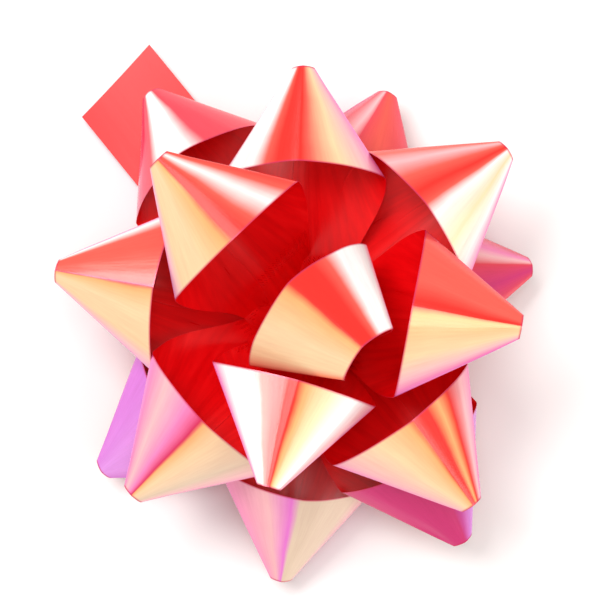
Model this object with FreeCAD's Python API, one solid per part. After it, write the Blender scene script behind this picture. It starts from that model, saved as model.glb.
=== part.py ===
import FreeCAD, Part
import bisect
import math
import os

# Pre-made star gift bow: sixteen loops and one cut end of metallised film ribbon, pinned in a
# pile by a wire staple to a square base card with a peel-off adhesive foam pad below.
# Frame: origin in the middle of the liner's underside, +Z along the bow's axis, +Y its long way.

V = FreeCAD.Vector

# Driving dimensions, millimetres and degrees.
RIBBON_WIDTH = 19.0      # width of the ribbon
FILM = 0.10              # thickness of the film
PLY_PITCH = 0.17         # height taken by each pinned ply of ribbon
LINER_THICK = 0.20
LINER_TAB = 4.0          # how far the liner's finger tab sticks out past the pad
PAD_SIZE = 22.0
PAD_THICK = 1.00
CARD_SIZE = 28.0
CARD_THICK = 0.70
CARD_RADIUS = 2.0
WIRE_RADIUS = 0.25       # staple wire
STAPLE_HALF = 2.5        # half the staple's crown, centre to centre of its legs
STAPLE_BEND = 0.40       # bend radius of the wire's centreline
LEG_HOLE = 0.35          # radius of the holes the legs pass through
LEG_HALF = 3.3           # half width of a pinned leg, and how far it runs past the staple
PIN_FLAT = (5.4, 10.5)   # flat inside the first distance from the axis, free beyond the second
TIP_OFFSET = 3.0         # developed distance from a loop's virtual apex to its blunt tip
FLATNESS = 2.2           # how much wider than high a loop's cross-section is
LOW_LEAN = -12.0         # roll of a lower loop about its own length, so that neighbours clear
HIGH_LEAN = -5.0         # roll of a middle or upper loop
TAIL_LENGTH = 59.0
TAIL_AZIMUTH = 129.0
TAIL_DROP = 0.9          # how much lower than its pin the cut end hangs
TAIL_SLANT = -3.0        # how much further out the cut lies at its counter-clockwise corner
TAIL_WIDENING = (8.0, 24.0)  # distances from the axis where it starts to widen and is full
TAIL_DROOP = (20.0, 34.0)    # distances where it starts to droop and is level again

# Loops from the bottom of the pile upwards: name, azimuth, elevation, and reach from the staple
# to the virtual tip.
LOOPS = [
    ("lower_loop_1", 12, 3, 43),
    ("lower_loop_2", 70, 2, 45),
    ("lower_loop_3", 125, 1, 52),
    ("lower_loop_4", 169, 0, 43.5),
    ("lower_loop_5", 217, 2, 48),
    ("lower_loop_6", 264, 1, 49.5),
    ("lower_loop_7", 304, 4, 51),
    ("middle_loop_1", 38, 23, 49.5),
    ("middle_loop_2", 91, 21, 47),
    ("middle_loop_3", 172, 21, 49),
    ("middle_loop_4", 227, 20, 49),
    ("middle_loop_5", 309, 22, 49.5),
    ("upper_loop_1", 137, 40, 47),
    ("upper_loop_2", 258, 41, 44.5),
    ("upper_loop_3", 352, 39, 48),
]
CENTRE_LOOP = ("centre_loop", -44, 60, 35)
CENTRE_TIP_OFFSET = 12.0
CENTRE_FLATNESS = 1.6
CENTRE_PIN_FLAT = (3.4, 8.0)

PAD_BOTTOM = LINER_THICK
CARD_BOTTOM = PAD_BOTTOM + PAD_THICK
CARD_TOP = CARD_BOTTOM + CARD_THICK
TAIL_LEVEL = CARD_TOP + FILM
FIRST_LEVEL = TAIL_LEVEL + PLY_PITCH
CENTRE_LEVEL = FIRST_LEVEL + PLY_PITCH * len(LOOPS)
CROWN_LEVEL = CENTRE_LEVEL + FILM + WIRE_RADIUS
CLINCH_LEVEL = CARD_BOTTOM - WIRE_RADIUS - 0.02
STEPS_ROUND = 360
TIP_CORNER = 1.0         # rounding where the tip's edge meets the seam between the legs
SEAM_GAP = 0.1           # half the gap between the two legs of one loop


def smooth(low, high, x):
    """Rises smoothly from 0 at low to 1 at high."""
    t = min(1.0, max(0.0, (x - low) / (high - low)))
    return t * t * (3.0 - 2.0 * t)


def walk_round(slope, flatness):
    """Angles round an elliptic cone, and the arc length walked on the unit sphere to each."""
    angles = []
    arcs = []
    walked = 0.0
    last = V(1, 0, slope).normalize()
    for i in range(STEPS_ROUND):
        angle = 1.6 * math.pi * i / (STEPS_ROUND - 1)
        point = V(1, slope * flatness * math.sin(angle), slope * math.cos(angle)).normalize()
        walked += (point - last).Length
        last = point
        angles.append(angle)
        arcs.append(walked)
    return angles, arcs


def look_up(x, xs, ys):
    """Linear interpolation of ys over the rising list xs."""
    i = min(len(xs) - 1, max(1, bisect.bisect_right(xs, x)))
    share = (x - xs[i - 1]) / (xs[i] - xs[i - 1])
    return ys[i - 1] + share * (ys[i] - ys[i - 1])


def fit_cone(half_arc, flatness):
    """Slope of the elliptic cone whose half turn uses up half_arc of the flat ribbon."""
    low = 0.02
    high = 1.5
    for _ in range(36):
        slope = 0.5 * (low + high)
        angles, arcs = walk_round(slope, flatness)
        if look_up(math.pi, angles, arcs) > half_arc:
            high = slope
        else:
            low = slope
    return slope, angles, arcs


def stations(half, end):
    """Distances along half a loop's ribbon from its tip, closer at the tip and at the pin."""
    places = [0.0]
    while places[-1] < half + end:
        here = places[-1]
        near_pin = smooth(half - 16.0, half - 9.0, here)
        places.append(here + (0.5 + 0.09 * here) * (1.0 - near_pin) + 1.0 * near_pin)
    scale = (half + end) / places[-1]
    return [place * scale for place in places]


class Loop:
    """A ribbon bent without stretching round an elliptic cone, both legs pinned on the axis."""

    def __init__(self, row, level, lean, tip=TIP_OFFSET, flatness=FLATNESS, pin_flat=PIN_FLAT):
        name, azimuth, elevation, reach = row
        self.level = level
        self.tip = tip
        self.flatness = flatness
        self.pin_flat = pin_flat
        self.azimuth = math.radians(azimuth)
        self.elevation = math.radians(elevation)
        self.middle = tip + 0.5 * RIBBON_WIDTH
        self.rho = reach + tip
        half_arc = math.acos(self.middle / self.rho)
        self.half = self.rho * math.sin(half_arc)
        self.slope, self.angles, self.arcs = fit_cone(half_arc, flatness)
        level_out = V(math.cos(self.azimuth), math.sin(self.azimuth), 0)
        side = V(-level_out.y, level_out.x, 0)
        out = level_out * math.cos(self.elevation) + V(0, 0, math.sin(self.elevation))
        up = out.cross(side)
        tilt = math.radians(lean)
        self.level_out = level_out
        self.side = side * math.cos(tilt) + up * math.sin(tilt)
        rise = up * math.cos(tilt) - side * math.sin(tilt)
        half_angle = math.atan(self.slope)
        self.apex = V(0, 0, level) + out * self.rho
        self.core = rise * math.sin(half_angle) - out * math.cos(half_angle)
        self.over = rise * math.cos(half_angle) + out * math.sin(half_angle)

    def point(self, along, share, offset):
        """Point at a distance along the ribbon from the tip and a share of its width."""
        far = abs(along)
        seam = far * self.middle / self.half + SEAM_GAP
        inner = 0.5 * (self.tip + seam + math.hypot(self.tip - seam, TIP_CORNER))
        full = self.tip + RIBBON_WIDTH
        taper = smooth(self.half - 36.0, self.half - 18.0, far)
        outer = full + (seam + LEG_HALF - full) * taper
        across = inner + share * (outer - inner)
        angle = math.copysign(look_up(math.atan2(far, across), self.arcs, self.angles), along)
        wide = self.slope * self.flatness
        ray = self.core + self.side * (wide * math.sin(angle)) + self.over * (self.slope * math.cos(angle))
        turn = self.side * (wide * math.cos(angle)) - self.over * (self.slope * math.sin(angle))
        ray.normalize()
        normal = ray.cross(turn).normalize()
        if normal.dot(self.over * math.cos(angle) + self.side * math.sin(angle)) < 0:
            normal = normal * -1.0
        place = self.apex + ray * math.hypot(along, across) + normal * offset
        free = smooth(self.pin_flat[0], self.pin_flat[1], place.dot(self.level_out))
        leg = smooth(self.half - 20.0, self.half - 13.0, far)
        free = 1.0 - (1.0 - free) * leg
        pinned = self.level - offset
        return V(place.x, place.y, pinned + (place.z - pinned) * free)

    def grid(self, offset):
        end = LEG_HALF / math.cos(self.elevation)
        half = stations(self.half, end)
        along = [-place for place in reversed(half[1:])] + half
        shares = [i / 6.0 for i in range(7)]
        return [[self.point(place, share, offset) for share in shares] for place in along]


def tail_grid(offset):
    """The ribbon's cut end: a flat tail that widens from the pin and droops a little."""
    out = V(math.cos(math.radians(TAIL_AZIMUTH)), math.sin(math.radians(TAIL_AZIMUTH)), 0)
    side = V(-out.y, out.x, 0)
    rows = []
    for i in range(31):
        row = []
        for j in range(5):
            across = j / 2.0 - 1.0
            far = -LEG_HALF + (TAIL_LENGTH + TAIL_SLANT * across / 2.0 + LEG_HALF) * i / 30.0
            full = smooth(TAIL_WIDENING[0], TAIL_WIDENING[1], far)
            wide = LEG_HALF + (RIBBON_WIDTH / 2.0 - LEG_HALF) * full
            drop = TAIL_DROP * smooth(TAIL_DROOP[0], TAIL_DROOP[1], far)
            row.append(out * far + side * (wide * across) + V(0, 0, TAIL_LEVEL - drop + offset))
        rows.append(row)
    return rows


def film_solid(outer_grid, inner_grid):
    """Closes two faces of a film and the four strips between their borders into a solid."""
    faces = []
    borders = []
    for grid in (outer_grid, inner_grid):
        surface = Part.BSplineSurface()
        surface.interpolate(grid)
        u0, u1, v0, v1 = surface.bounds()
        faces.append(surface.toShape())
        borders.append([surface.uIso(u0), surface.uIso(u1), surface.vIso(v0), surface.vIso(v1)])
    for first, second in zip(borders[0], borders[1]):
        faces.append(Part.makeRuledSurface(first.toShape(), second.toShape()))
    shell = Part.makeShell(faces)
    shell.sewShape()
    solid = Part.makeSolid(Part.Shell(shell.Faces))
    if solid.Volume < 0:
        solid.reverse()
    return solid


def drill(shape, radius):
    """Cuts the two holes for the staple's legs."""
    for x in (-STAPLE_HALF, STAPLE_HALF):
        shape = shape.cut(Part.makeCylinder(radius, 20.0, V(x, 0, 0)))
    return shape


def square_plate(size, bottom, thick, radius):
    plate = Part.makeBox(size, size, thick, V(-size / 2.0, -size / 2.0, bottom))
    upright = [edge for edge in plate.Edges if abs(edge.tangentAt(edge.FirstParameter).z) > 0.9]
    return plate.makeFillet(radius, upright)


def make_pad():
    """Foam pad with the recess that the clinched wire presses into it."""
    pad = square_plate(PAD_SIZE, PAD_BOTTOM, PAD_THICK, 1.0)
    length = 2.0 * STAPLE_HALF + 2.0
    width = 2.0 * WIRE_RADIUS + 0.4
    recess = Part.makeBox(length, width, 1.0, V(-length / 2.0, -width / 2.0, CLINCH_LEVEL - 0.3))
    return pad.cut(recess)


def make_liner():
    """Release liner: as wide as the pad, with a rounded finger tab past its +X side."""
    length = PAD_SIZE + LINER_TAB
    sheet = Part.makeBox(length, PAD_SIZE, LINER_THICK, V(-PAD_SIZE / 2.0, -PAD_SIZE / 2.0, 0))
    far = [
        edge for edge in sheet.Edges
        if abs(edge.tangentAt(edge.FirstParameter).z) > 0.9 and edge.CenterOfMass.x > 0
    ]
    return sheet.makeFillet(4.0, far)


def make_staple():
    """Wire staple: a crown over the pile, two legs, and their ends clinched inwards."""
    half = STAPLE_HALF
    bend = STAPLE_BEND
    diagonal = bend * math.sqrt(0.5)
    end = V(0.4, 0, CLINCH_LEVEL)
    low_a = V(half - bend, 0, CLINCH_LEVEL)
    low_m = V(half - bend + diagonal, 0, CLINCH_LEVEL + bend - diagonal)
    low_b = V(half, 0, CLINCH_LEVEL + bend)
    top_a = V(half, 0, CROWN_LEVEL - bend)
    top_m = V(half - bend + diagonal, 0, CROWN_LEVEL - bend + diagonal)
    top_b = V(half - bend, 0, CROWN_LEVEL)
    right = [
        Part.makeLine(end, low_a),
        Part.Arc(low_a, low_m, low_b).toShape(),
        Part.makeLine(low_b, top_a),
        Part.Arc(top_a, top_m, top_b).toShape(),
    ]
    left = [edge.mirror(V(0, 0, 0), V(1, 0, 0)) for edge in right]
    crown = Part.makeLine(top_b, V(-top_b.x, 0, top_b.z))
    path = Part.Wire(Part.__sortEdges__(right + [crown] + left))
    profile = Part.Wire(Part.makeCircle(WIRE_RADIUS, end, V(1, 0, 0)))
    return path.makePipeShell([profile], True, True)


def save(name, shape):
    if not shape.isValid() or len(shape.Solids) != 1:
        print("CHECK", name, shape.isValid(), len(shape.Solids))
    shape.exportStep("parts/" + name + ".step")


os.makedirs("parts", exist_ok=True)
save("release_liner", make_liner())
save("foam_pad", make_pad())
save("base_card", drill(square_plate(CARD_SIZE, CARD_BOTTOM, CARD_THICK, CARD_RADIUS), LEG_HOLE))
save("staple", make_staple())
half_film = FILM / 2.0
save("ribbon_tail", drill(film_solid(tail_grid(half_film), tail_grid(-half_film)), LEG_HOLE))
for index, row in enumerate(LOOPS):
    lean = LOW_LEAN if row[0].startswith("lower") else HIGH_LEAN
    loop = Loop(row, FIRST_LEVEL + PLY_PITCH * index, lean)
    save(row[0], drill(film_solid(loop.grid(half_film), loop.grid(-half_film)), LEG_HOLE))
centre = Loop(CENTRE_LOOP, CENTRE_LEVEL, 0.0, CENTRE_TIP_OFFSET, CENTRE_FLATNESS, CENTRE_PIN_FLAT)
save(CENTRE_LOOP[0], drill(film_solid(centre.grid(half_film), centre.grid(-half_film)), LEG_HOLE))
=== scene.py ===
import math

import bmesh
import bpy
import numpy as np
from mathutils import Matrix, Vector, noise


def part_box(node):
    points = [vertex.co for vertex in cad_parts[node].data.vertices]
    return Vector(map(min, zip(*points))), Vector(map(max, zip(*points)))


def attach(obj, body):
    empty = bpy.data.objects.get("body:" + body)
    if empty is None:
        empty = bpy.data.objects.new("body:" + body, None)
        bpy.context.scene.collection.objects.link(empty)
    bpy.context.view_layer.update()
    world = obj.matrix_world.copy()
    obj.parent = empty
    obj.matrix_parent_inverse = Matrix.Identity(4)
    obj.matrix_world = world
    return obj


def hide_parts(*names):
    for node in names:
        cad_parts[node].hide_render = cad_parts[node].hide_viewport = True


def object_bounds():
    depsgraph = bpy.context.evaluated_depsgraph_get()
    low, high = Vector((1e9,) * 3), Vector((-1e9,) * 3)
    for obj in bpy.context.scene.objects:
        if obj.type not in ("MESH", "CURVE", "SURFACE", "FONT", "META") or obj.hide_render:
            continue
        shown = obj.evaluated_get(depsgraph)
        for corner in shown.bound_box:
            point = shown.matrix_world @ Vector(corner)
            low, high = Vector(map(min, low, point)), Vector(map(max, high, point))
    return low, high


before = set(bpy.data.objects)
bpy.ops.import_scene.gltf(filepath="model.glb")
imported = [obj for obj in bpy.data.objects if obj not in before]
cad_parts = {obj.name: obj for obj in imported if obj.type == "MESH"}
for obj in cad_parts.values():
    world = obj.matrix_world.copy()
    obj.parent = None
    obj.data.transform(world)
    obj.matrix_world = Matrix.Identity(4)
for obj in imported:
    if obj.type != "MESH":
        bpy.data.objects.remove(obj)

cad_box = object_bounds()

# Ribbon and loops, in millimetres and degrees. These are the CAD part's own values.
WIDTH = 19.0
PLY_PITCH = 0.17         # height taken by each pinned ply
TAIL_LEVEL = 2.0
FIRST_LEVEL = TAIL_LEVEL + PLY_PITCH
LEG_HALF = 3.3           # how far a leg runs past the staple, and the pinned tail's half width
LOW_LEAN = -12.0         # roll of a lower loop about its own length
HIGH_LEAN = -5.0         # roll of a middle or upper loop
TAIL_LENGTH = 59.0
TAIL_AZIMUTH = 129.0
TAIL_SLANT = -3.0        # how much further out the cut lies at its counter-clockwise corner
TAIL_DROP = 0.9          # how much lower than its pin the cut end hangs
TAIL_WIDENING = (8, 24)  # distances from the axis where it starts to widen and is full
TAIL_DROOP = (20, 34)    # distances where it starts to droop and is level again

# These differ from the CAD part or are not in it. Its film is thicker and its solids keep clear
# of each other.
FILM = 0.05
PLY_LIFT = 0.058         # how far each leg of a loop is moved off their shared surface
PINNED_HALF = 5.5        # half width of a leg at the pin
NARROWING = (30, 10)     # distances before the pin where a leg starts to narrow and is narrow
ROOF = 1.42              # section: 1 would be flat facets with a sharp ridge, 2 a true ellipse
DENT = 0.22              # height of the slight creases
TAIL_CURL = 0.5          # how much the tail's long edges rise at its end
TAIL_CURLING = (26, 58)  # distances from the axis where they start to rise and are highest
RULED_ARC = 52           # developed degrees over which rows follow the cone's straight lines
RULED_ROWS = 64
LEG_ROWS = 83
# Distance from the virtual apex to the tip, flatness of the section, and the distances from the
# axis where the legs stop being flat and are free. Only the flatness differs from the CAD part.
ORDINARY = (3.0, 2.0, (5.4, 10.5))
CENTRE = (12.0, 1.5, (3.4, 8.0))

# name, azimuth, elevation, reach, then the tints of its pearl side as letters and
# places round the cone, from one seam to the other with the ridge at 50. W, A, C and Y
# are painted highlights and painted reflections, the other letters the film's own tints.
LOOPS = [
    ("lower_loop_1", 12, 3, 43, "M22 K30 H40 K50 A56 P60 K68 L78"),
    ("lower_loop_2", 70, 2, 45, "M20 K32 S42 K50 A55 K62 H72 L79"),
    ("lower_loop_3", 125, 1, 52, "M22 K28 K42 W46 W58 K61 H74 L80"),
    ("lower_loop_4", 169, 0, 43.5, "L22 P30 A42 K49 H55 P66 L76"),
    ("lower_loop_5", 217, 2, 48, "M20 V28 U45 U56 V68 V76 M82"),
    ("lower_loop_6", 264, 1, 49.5, "L22 P27 A40 L46 Y49 Y65 A70 P76 L81"),
    ("lower_loop_7", 304, 4, 51, "M20 H30 H52 V64 U72 M80"),
    ("middle_loop_1", 38, 23, 49.5, "L23 P27 W32 C38 W45 S49 R55 S60 A65 S69 R74 M79"),
    ("middle_loop_2", 91, 21, 47, "L23 P28 A33 C39 S46 R49 R57 S60 W63 W70 P75 L80"),
    ("middle_loop_3", 172, 21, 49, "M22 P26 W29 S33 S43 R48 M50 G52 C58 C66 A70 L77"),
    ("middle_loop_4", 227, 20, 49, "L22 P29 A36 P43 M48 G51 C56 Y65 A70 P75 L80"),
    ("middle_loop_5", 309, 22, 49.5, "L22 P26 A30 C39 G47 R50 R56 G59 R62 A67 P73 L80"),
    ("upper_loop_1", 137, 40, 47, "M20 R26 S32 W37 S42 R46 R51 G54 C61 C68 A71 L77"),
    ("upper_loop_2", 258, 41, 44.5, "L23 P27 W31 W37 S40 R43 R51 G54 C60 W66 A70 P75 L80"),
    ("upper_loop_3", 352, 39, 48, "L23 P28 A32 C37 G47 R50 R53 S58 S69 K74 M79"),
    ("centre_loop", -44, 60, 35, "M19 S25 C31 C38 G46 R49 R58 S61 W64 W71 P76 M80"),
]


def smooth(low, high, x):
    t = np.clip((x - low) / (high - low), 0, 1)
    return t * t * (3 - 2 * t)


def section(angle, flatness):
    """Sideways and upward shares of a loop's rounded, roof-like cross-section."""
    side, up = np.sin(angle), np.cos(angle)
    power = 2 / ROOF
    return flatness * np.sign(side) * np.abs(side) ** power, np.sign(up) * np.abs(up) ** power


def fit_cone(half_arc, flatness):
    """Slope of the cone whose half turn takes up half_arc of the flat ribbon."""
    low, high = 0.02, 1.5
    for _ in range(40):
        slope = (low + high) / 2
        angles = np.linspace(0, math.pi * 1.6, 2000)
        sideways, upward = section(angles, flatness)
        rays = np.stack([np.ones(len(angles)), slope * sideways, slope * upward], 1)
        rays /= np.linalg.norm(rays, axis=1)[:, None]
        arcs = np.concatenate([[0], np.cumsum(np.linalg.norm(np.diff(rays, axis=0), axis=1))])
        if np.interp(math.pi, angles, arcs) > half_arc:
            high = slope
        else:
            low = slope
    return slope, angles, arcs


class Loop:
    """A ribbon bent without stretching round a flattened cone, with both legs pinned."""

    def __init__(self, row, level):
        name, azimuth, elevation, reach = row[:4]
        top = name == "centre_loop"
        lean = 0.0 if top else LOW_LEAN if name.startswith("lower") else HIGH_LEAN
        self.name, self.level = name, level
        self.tip, self.flatness, self.pin_flat = CENTRE if top else ORDINARY
        az, el, tilt = (math.radians(a) for a in (azimuth, elevation, lean))
        self.middle = self.tip + WIDTH / 2
        rho = reach + self.tip
        half_arc = math.acos(self.middle / rho)
        self.half = rho * math.sin(half_arc)
        self.end = LEG_HALF / math.cos(el)
        self.slope, self.angles, self.arcs = fit_cone(half_arc, self.flatness)
        self.level_out = np.array([math.cos(az), math.sin(az), 0.0])
        side = np.array([-math.sin(az), math.cos(az), 0.0])
        out = self.level_out * math.cos(el) + np.array([0, 0, math.sin(el)])
        up = np.cross(out, side)
        self.side = side * math.cos(tilt) + up * math.sin(tilt)
        rise = up * math.cos(tilt) - side * math.sin(tilt)
        half_angle = math.atan(self.slope)
        self.apex = np.array([0, 0, level]) + out * rho
        self.core = rise * math.sin(half_angle) - out * math.cos(half_angle)
        self.over = rise * math.cos(half_angle) + out * math.sin(half_angle)
        self.seed = Vector((azimuth * 0.37, elevation * 0.21, 4.0))

    def distances(self, share):
        """Distances along half the ribbon: along the cone's own lines, then squarely across."""
        last = self.half + self.end
        last_turn = np.interp(math.radians(RULED_ARC), self.arcs, self.angles)
        turns = np.linspace(0, last_turn, RULED_ROWS)
        slants = np.tan(np.interp(turns, self.angles, self.arcs))
        near = slants * self.tip
        away = slants * (self.tip + WIDTH)
        steps = np.linspace(0, 1, LEG_ROWS + 1)[1:]
        near = np.concatenate([near, near[-1] + (last - near[-1]) * steps])
        away = np.concatenate([away, away[-1] + (last - away[-1]) * steps])
        return near[:, None] + share * (away - near)[:, None]

    def narrowing(self, far):
        """0 where a leg has the ribbon's full width, 1 where it is narrow."""
        return smooth(self.half - NARROWING[0], self.half - NARROWING[1], far)

    def ray(self, angle):
        """Direction from the apex along the cone at an angle round it, 0 on top."""
        sideways, upward = section(angle, self.flatness)
        ray = self.core + self.slope * (sideways[..., None] * self.side + upward[..., None] * self.over)
        return ray / np.linalg.norm(ray, axis=-1)[..., None]

    def grid(self, offset):
        """Points, turns round the cone and shares of the width; offset is out of the film."""
        share = np.linspace(0, 1, 13)[None, :]
        half = self.distances(share)
        along = np.concatenate([-half[:0:-1], half])
        far = np.abs(along)
        share = share + 0 * far
        narrow = self.narrowing(far)
        half_width = WIDTH / 2 + (PINNED_HALF - WIDTH / 2) * narrow
        across = self.middle + (2 * share - 1) * half_width
        sign = np.sign(along)
        angle = np.interp(np.arctan2(far, across), self.arcs, self.angles) * sign
        ray = self.ray(angle)
        normal = np.cross(ray, self.ray(angle + 0.03) - self.ray(angle - 0.03))
        normal /= -np.linalg.norm(normal, axis=2)[..., None]
        radius = np.hypot(far, across)
        underside = smooth(math.radians(100), math.radians(160), np.abs(angle))
        lift = PLY_LIFT * sign * underside
        dent = self.dents(angle, radius) * smooth(0, 6, radius - self.tip) * (1 - underside)
        place = self.apex + ray * radius[..., None] + normal * (offset + lift + dent)[..., None]
        free = smooth(self.pin_flat[0], self.pin_flat[1], place @ self.level_out)
        leg = smooth(self.half - 20, self.half - 13, far)
        free = 1 - (1 - free) * leg
        pinned = self.level - offset - lift
        place[..., 2] = pinned + (place[..., 2] - pinned) * free
        return place, angle, share

    def dents(self, angle, radius):
        """Slight creases that run along the cone's straight lines, in millimetres."""
        out = np.zeros(angle.shape)
        for i in range(angle.shape[0]):
            for j in range(angle.shape[1]):
                at = Vector((angle[i, j] * 1.7, radius[i, j] * 0.035, 0)) + self.seed
                out[i, j] = DENT * noise.noise(at)
        return out


def piece_from(bm, name):
    mesh = bpy.data.meshes.new(name)
    bm.to_mesh(mesh)
    bm.free()
    piece = bpy.data.objects.new(name, mesh)
    bpy.context.scene.collection.objects.link(piece)
    return piece


def strip_mesh(name, top, bottom, coords):
    """Closed film between two grids of points in millimetres. coords is the UV of each point."""
    rows, columns = top.shape[:2]
    bm = bmesh.new()
    uv_layer = bm.loops.layers.uv.new("UVMap")
    upper = [[bm.verts.new(top[i, j] / 1000) for j in range(columns)] for i in range(rows)]
    lower = [[bm.verts.new(bottom[i, j] / 1000) for j in range(columns)] for i in range(rows)]
    uv_of = {}
    for i in range(rows):
        for j in range(columns):
            uv_of[upper[i][j]] = uv_of[lower[i][j]] = coords[i, j]

    def add(points, slot):
        face = bm.faces.new(points)
        face.material_index = slot
        face.smooth = slot < 2
        for corner in face.loops:
            corner[uv_layer].uv = uv_of[corner.vert]

    for i in range(rows - 1):
        for j in range(columns - 1):
            add((upper[i][j], upper[i + 1][j], upper[i + 1][j + 1], upper[i][j + 1]), 0)
            add((lower[i][j + 1], lower[i + 1][j + 1], lower[i + 1][j], lower[i][j]), 1)
    ring = [(i, 0) for i in range(rows)] + [(rows - 1, j) for j in range(1, columns)]
    ring += [(i, columns - 1) for i in range(rows - 2, -1, -1)]
    ring += [(0, j) for j in range(columns - 2, 0, -1)]
    for a, b in zip(ring, ring[1:] + ring[:1]):
        add((upper[b[0]][b[1]], upper[a[0]][a[1]], lower[a[0]][a[1]], lower[b[0]][b[1]]), 2)
    bmesh.ops.recalc_face_normals(bm, faces=bm.faces)
    for face in bm.faces:
        if face.material_index == 2:
            for edge in face.edges:
                edge.smooth = False
    return piece_from(bm, name)


# ---- materials ----------------------------------------------------------------------------

BLACK = (0.0, 0.0, 0.0, 1.0)
WHITE = (1.0, 1.0, 1.0, 1.0)


def srgb(r, g, b):
    """Linear colour of an 8-bit screen colour."""
    shares = [c / 255 for c in (r, g, b)]
    linear = [((c + 0.055) / 1.055) ** 2.4 if c > 0.04045 else c / 12.92 for c in shares]
    return (*linear, 1.0)


def new_material(name):
    material = bpy.data.materials.new(name)
    material.use_nodes = True
    nodes, links = material.node_tree.nodes, material.node_tree.links
    return material, nodes, links, nodes["Principled BSDF"]


def ramp(nodes, links, source, stops):
    node = nodes.new("ShaderNodeValToRGB")
    elements = node.color_ramp.elements
    while len(elements) > 1:
        elements.remove(elements[0])
    for k, (place, colour) in enumerate(stops):
        element = elements[0] if k == 0 else elements.new(place)
        element.position = place
        element.color = colour
    links.new(source, node.inputs["Fac"])
    return node.outputs["Color"]


def math_node(nodes, links, kind, a, b):
    node = nodes.new("ShaderNodeMath")
    node.operation = kind
    for socket, value in zip(node.inputs, (a, b)):
        if isinstance(value, (int, float)):
            socket.default_value = value
        else:
            links.new(value, socket)
    return node.outputs[0]


def mix_colour(nodes, links, share, a, b, kind="MIX"):
    node = nodes.new("ShaderNodeMix")
    node.data_type = "RGBA"
    node.blend_type = kind
    for socket, value in ((node.inputs[0], share), (node.inputs[6], a), (node.inputs[7], b)):
        if isinstance(value, (int, float, tuple)):
            socket.default_value = value
        else:
            links.new(value, socket)
    return node.outputs[2]


def noise_node(nodes, links, source, scale, detail=2.0, stretch=None):
    if stretch:
        mapping = nodes.new("ShaderNodeMapping")
        mapping.inputs["Scale"].default_value = stretch
        links.new(source, mapping.inputs["Vector"])
        source = mapping.outputs[0]
    node = nodes.new("ShaderNodeTexNoise")
    node.inputs["Scale"].default_value = scale
    node.inputs["Detail"].default_value = detail
    links.new(source, node.inputs["Vector"])
    return node.outputs["Fac"]


def object_place(nodes):
    return nodes.new("ShaderNodeTexCoord").outputs["Object"]


def vary_roughness(nodes, links, source, low, high, shader):
    """Roughness that follows a pattern between two values."""
    node = nodes.new("ShaderNodeMapRange")
    node.inputs["To Min"].default_value = low
    node.inputs["To Max"].default_value = high
    links.new(source, node.inputs["Value"])
    links.new(node.outputs[0], shader.inputs["Roughness"])


def bump(nodes, links, height, strength, distance, shader):
    node = nodes.new("ShaderNodeBump")
    node.inputs["Strength"].default_value = strength
    node.inputs["Distance"].default_value = distance
    links.new(height, node.inputs["Height"])
    links.new(node.outputs[0], shader.inputs["Normal"])


# Band colours of the pearl side: W, A, C and Y are painted highlights and painted reflections, the others
# the film's own tints.
TINTS_AND_PAINTED_HIGHLIGHTS = {
    "A": srgb(252, 190, 192), "C": srgb(254, 214, 166), "D": srgb(234, 3, 10), "G": srgb(255, 178, 112),
    "H": srgb(216, 46, 118), "K": srgb(238, 66, 84), "L": srgb(240, 120, 214), "M": srgb(214, 26, 84),
    "P": srgb(250, 130, 186), "R": srgb(238, 36, 22), "S": srgb(248, 92, 76), "U": srgb(236, 156, 240),
    "V": srgb(214, 104, 212), "W": srgb(255, 250, 246), "Y": srgb(236, 210, 182),
}


def bands(text):
    """Colour stops from letters and places, with plain red towards the seam on both sides."""
    stops = [(0.0, TINTS_AND_PAINTED_HIGHLIGHTS["D"]), (0.14, TINTS_AND_PAINTED_HIGHLIGHTS["D"])]
    stops += [(int(word[1:]) / 100, TINTS_AND_PAINTED_HIGHLIGHTS[word[0]]) for word in text.split()]
    return stops + [(0.88, TINTS_AND_PAINTED_HIGHLIGHTS["D"])]


def pearl_film(name, text):
    """Outer side: pearl film whose tint changes round the cone, with painted highlight and painted
    reflection bands among its tints, and fine lengthwise streaks.
    """
    material, nodes, links, shader = new_material(name)
    uv = nodes.new("ShaderNodeUVMap")
    uv.uv_map = "UVMap"
    split = nodes.new("ShaderNodeSeparateXYZ")
    links.new(uv.outputs[0], split.inputs[0])
    waver = noise_node(nodes, links, uv.outputs[0], 2.2, 3.0)
    waver = math_node(nodes, links, "MULTIPLY", math_node(nodes, links, "SUBTRACT", waver, 0.5), 0.02)
    place = math_node(nodes, links, "ADD", split.outputs[0], waver)
    # Bands round the cone: the film's own tints plus painted highlights and painted reflections.
    colour = ramp(nodes, links, place, bands(text))
    streaks = noise_node(nodes, links, uv.outputs[0], 9.0, 4.0, (14.0, 0.35, 1.0))
    tone = ramp(nodes, links, streaks, [(0.3, srgb(240, 230, 232)), (0.7, srgb(255, 255, 255))])
    colour = mix_colour(nodes, links, 0.5, colour, tone, "MULTIPLY")
    rim = ramp(nodes, links, split.outputs[1], [(0.0, WHITE), (0.022, BLACK), (0.978, BLACK), (1.0, WHITE)])
    colour = mix_colour(nodes, links, rim, colour, srgb(206, 34, 84))
    links.new(colour, shader.inputs["Base Color"])
    vary_roughness(nodes, links, streaks, 0.16, 0.30, shader)
    shader.inputs["Metallic"].default_value = 0.15
    shader.inputs["Coat Weight"].default_value = 0.5
    shader.inputs["Coat Roughness"].default_value = 0.12
    bump(nodes, links, streaks, 0.12, 0.0002, shader)
    return material


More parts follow.
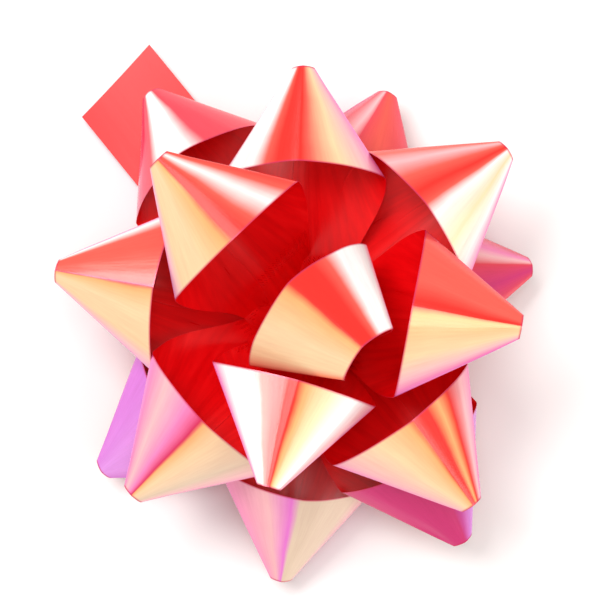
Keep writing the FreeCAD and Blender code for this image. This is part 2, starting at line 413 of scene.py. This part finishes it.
def red_film():
    """Inner side: saturated red film, glossy, with faint lengthwise streaks."""
    material, nodes, links, shader = new_material("film_inner_red")
    uv = nodes.new("ShaderNodeUVMap")
    uv.uv_map = "UVMap"
    streaks = noise_node(nodes, links, uv.outputs[0], 6.0, 4.0, (9.0, 0.4, 1.0))
    reds = [(0.3, srgb(222, 0, 6)), (0.55, srgb(240, 3, 10)), (0.8, srgb(252, 22, 24))]
    colour = ramp(nodes, links, streaks, reds)
    links.new(colour, shader.inputs["Base Color"])
    vary_roughness(nodes, links, streaks, 0.22, 0.40, shader)
    bump(nodes, links, streaks, 0.10, 0.0002, shader)
    return material


def edge_film():
    material, nodes, links, shader = new_material("film_cut_edge")
    place = object_place(nodes)
    grain = noise_node(nodes, links, place, 900.0, 2.0)
    colour = ramp(nodes, links, grain, [(0.3, srgb(200, 22, 40)), (0.7, srgb(232, 70, 110))])
    links.new(colour, shader.inputs["Base Color"])
    shader.inputs["Roughness"].default_value = 0.35
    return material


def board():
    """Greyboard: flecked recycled fibre, matt."""
    material, nodes, links, shader = new_material("greyboard")
    place = object_place(nodes)
    fibres = noise_node(nodes, links, place, 620.0, 6.0, (1.0, 0.35, 1.0))
    flecks = noise_node(nodes, links, place, 1500.0, 2.0)
    greys = [(0.25, srgb(196, 190, 176)), (0.55, srgb(222, 216, 203)), (0.8, srgb(236, 231, 220))]
    colour = ramp(nodes, links, fibres, greys)
    fleck = ramp(nodes, links, flecks, [(0.66, BLACK), (0.72, WHITE)])
    colour = mix_colour(nodes, links, fleck, colour, srgb(140, 128, 112))
    links.new(colour, shader.inputs["Base Color"])
    shader.inputs["Roughness"].default_value = 0.85
    bump(nodes, links, fibres, 0.35, 0.0002, shader)
    return material


def foam():
    """Closed-cell foam: small round cells in an off-white body, each darker at its hollow centre as painted
    shade.
    """
    material, nodes, links, shader = new_material("white_foam")
    place = object_place(nodes)
    cells = nodes.new("ShaderNodeTexVoronoi")
    cells.inputs["Scale"].default_value = 2600.0
    links.new(place, cells.inputs["Vector"])
    # Painted shade: each cell is darker at its centre, where the bump makes it a hollow.
    cell_tones_with_painted_pit_shade = [(0.05, srgb(206, 203, 196)), (0.4, srgb(240, 239, 234))]
    colour = ramp(nodes, links, cells.outputs["Distance"], cell_tones_with_painted_pit_shade)
    links.new(colour, shader.inputs["Base Color"])
    shader.inputs["Roughness"].default_value = 0.7
    bump(nodes, links, cells.outputs["Distance"], 0.5, 0.00015, shader)
    return material


def liner_paper():
    """Silicone-coated release paper: smooth, slightly mottled, with soft handling creases."""
    material, nodes, links, shader = new_material("release_paper")
    place = object_place(nodes)
    mottle = noise_node(nodes, links, place, 240.0, 5.0)
    creases = noise_node(nodes, links, place, 70.0, 3.0, (1.0, 0.3, 1.0))
    colour = ramp(nodes, links, mottle, [(0.3, srgb(226, 214, 176)), (0.7, srgb(243, 234, 204))])
    links.new(colour, shader.inputs["Base Color"])
    vary_roughness(nodes, links, mottle, 0.28, 0.5, shader)
    bump(nodes, links, creases, 0.3, 0.0006, shader)
    return material


def wire():
    """Galvanised wire: drawn lines and dull zinc patches."""
    material, nodes, links, shader = new_material("galvanised_wire")
    place = object_place(nodes)
    patches = noise_node(nodes, links, place, 900.0, 4.0)
    lines = noise_node(nodes, links, place, 3000.0, 2.0, (0.05, 1.0, 1.0))
    colour = ramp(nodes, links, patches, [(0.3, srgb(168, 170, 174)), (0.7, srgb(214, 215, 217))])
    links.new(colour, shader.inputs["Base Color"])
    vary_roughness(nodes, links, patches, 0.22, 0.5, shader)
    shader.inputs["Metallic"].default_value = 1.0
    bump(nodes, links, lines, 0.25, 0.00005, shader)
    return material


def dress(piece, *materials):
    slots = piece.data.materials
    while slots:
        slots.pop()
    for material in materials:
        slots.append(material)


# ---- ribbon -------------------------------------------------------------------------------

INNER = red_film()
EDGE = edge_film()
for index, row in enumerate(LOOPS):
    loop = Loop(row, FIRST_LEVEL + PLY_PITCH * index)
    outer, angle, share = loop.grid(FILM / 2)
    inner = loop.grid(-FILM / 2)[0]
    uv = np.stack([0.5 + angle / (2 * math.pi), share], 2)
    piece = strip_mesh("film_" + loop.name, outer, inner, uv)
    dress(piece, pearl_film("pearl_" + loop.name, row[4]), INNER, EDGE)
    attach(piece, "bow")
    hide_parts(loop.name)


def tail_half_width(far):
    """Half width of the tail at a distance from the axis."""
    return LEG_HALF + (WIDTH / 2 - LEG_HALF) * smooth(TAIL_WIDENING[0], TAIL_WIDENING[1], far)


def tail_grid(offset):
    """The ribbon's cut end: widens from the pin, droops a little, curls up at its long edges."""
    azimuth = math.radians(TAIL_AZIMUTH)
    out = np.array([math.cos(azimuth), math.sin(azimuth), 0.0])
    side = np.array([-out[1], out[0], 0.0])
    along = np.linspace(0, 1, 60)[:, None]
    across = np.linspace(-1, 1, 9)[None, :]
    far = -LEG_HALF + (TAIL_LENGTH + TAIL_SLANT * across / 2 + LEG_HALF) * along
    drop = TAIL_DROP * smooth(TAIL_DROOP[0], TAIL_DROOP[1], far)
    curl = TAIL_CURL * across ** 2 * smooth(TAIL_CURLING[0], TAIL_CURLING[1], far)
    place = out * far[..., None] + side * (tail_half_width(far) * across)[..., None]
    place[..., 2] = TAIL_LEVEL - drop + curl + offset
    return place, far, across + 0 * far


tail_top, far, across = tail_grid(FILM / 2)
tail_uv = np.stack([0.5 + across * 0.10, far / 60.0], 2)
tail = strip_mesh("film_tail", tail_top, tail_grid(-FILM / 2)[0], tail_uv)
dress(tail, INNER, pearl_film("pearl_tail", "K30 H50 L70"), EDGE)
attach(tail, "bow")
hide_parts("ribbon_tail")


# ---- pad, card, liner and staple ----------------------------------------------------------

def pad_mesh():
    """Foam pad: rounded square with slightly bulging sides and soft cut edges."""
    low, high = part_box("foam_pad")
    half = (high[0] - low[0]) / 2
    corner = 0.0012
    # share of the pad's height, and how far its side bulges there
    rings = [(0.0, -0.00020), (0.06, -0.00005), (0.3, 0.00010), (0.5, 0.00016), (0.7, 0.00010),
             (0.94, -0.00005), (1.0, -0.00020)]
    bm = bmesh.new()
    loops = []
    for share, bulge in rings:
        z = low[2] + (high[2] - low[2]) * share
        ring = []
        for quarter in range(4):
            for step in range(9):
                turn = math.radians(quarter * 90 + step * 11.25)
                cx = (half - corner) * (1 if quarter in (0, 3) else -1)
                cy = (half - corner) * (1 if quarter in (0, 1) else -1)
                r = corner + bulge
                ring.append(bm.verts.new((cx + r * math.cos(turn), cy + r * math.sin(turn), z)))
        loops.append(ring)
    for a, b in zip(loops, loops[1:]):
        for i in range(len(a)):
            j = (i + 1) % len(a)
            bm.faces.new((a[i], a[j], b[j], b[i])).smooth = True
    bm.faces.new(list(reversed(loops[0])))
    bm.faces.new(loops[-1])
    return piece_from(bm, "adhesive_pad")


pad = pad_mesh()
dress(pad, foam())
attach(pad, "bow")
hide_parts("foam_pad")
dress(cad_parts["base_card"], board())
dress(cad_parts["release_liner"], liner_paper())
dress(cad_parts["staple"], wire())


# ---- floor, light and camera --------------------------------------------------------------

def floor():
    material, _, _, shader = new_material("pale_floor")
    shader.inputs["Base Color"].default_value = srgb(244, 240, 238)
    shader.inputs["Roughness"].default_value = 0.55
    bpy.ops.mesh.primitive_plane_add(size=4.0, location=(0, 0, -0.0002))
    plane = bpy.context.object
    plane.name = "floor"
    dress(plane, material)


def area_light(name, place, target, size, power, colour=(1, 1, 1)):
    data = bpy.data.lights.new(name, "AREA")
    data.shape = "RECTANGLE"
    data.size, data.size_y = size
    data.energy = power
    data.color = colour
    lamp = bpy.data.objects.new(name, data)
    lamp.location = place
    lamp.rotation_euler = (Vector(target) - Vector(place)).to_track_quat("-Z", "Y").to_euler()
    bpy.context.scene.collection.objects.link(lamp)


floor()
area_light("key", (-0.35, 0.30, 0.75), (0, 0, 0.02), (0.5, 0.3), 4.6)
area_light("fill", (0.55, -0.25, 0.55), (0, 0, 0.02), (0.5, 0.5), 2.0, (1.0, 0.97, 0.95))
area_light("top", (0.0, 0.05, 0.95), (0, 0, 0), (0.35, 0.6), 2.0)
world = bpy.data.worlds.new("studio")
bpy.context.scene.world = world
world.use_nodes = True
world.node_tree.nodes["Background"].inputs["Color"].default_value = (1.0, 0.98, 0.97, 1.0)
world.node_tree.nodes["Background"].inputs["Strength"].default_value = 0.55

camera_data = bpy.data.cameras.new("camera")
camera_data.lens = 102
camera = bpy.data.objects.new("camera", camera_data)
bpy.context.scene.collection.objects.link(camera)
bpy.context.scene.camera = camera
middle = Vector(((cad_box[0][0] + cad_box[1][0]) / 2, (cad_box[0][1] + cad_box[1][1]) / 2, 0.016))
lean = math.radians(84)
camera.location = middle + Vector((0, -math.cos(lean), math.sin(lean))) * 0.31
camera.rotation_euler = (middle - camera.location).to_track_quat("-Z", "Y").to_euler()
bpy.context.scene.view_settings.view_transform = "Standard"
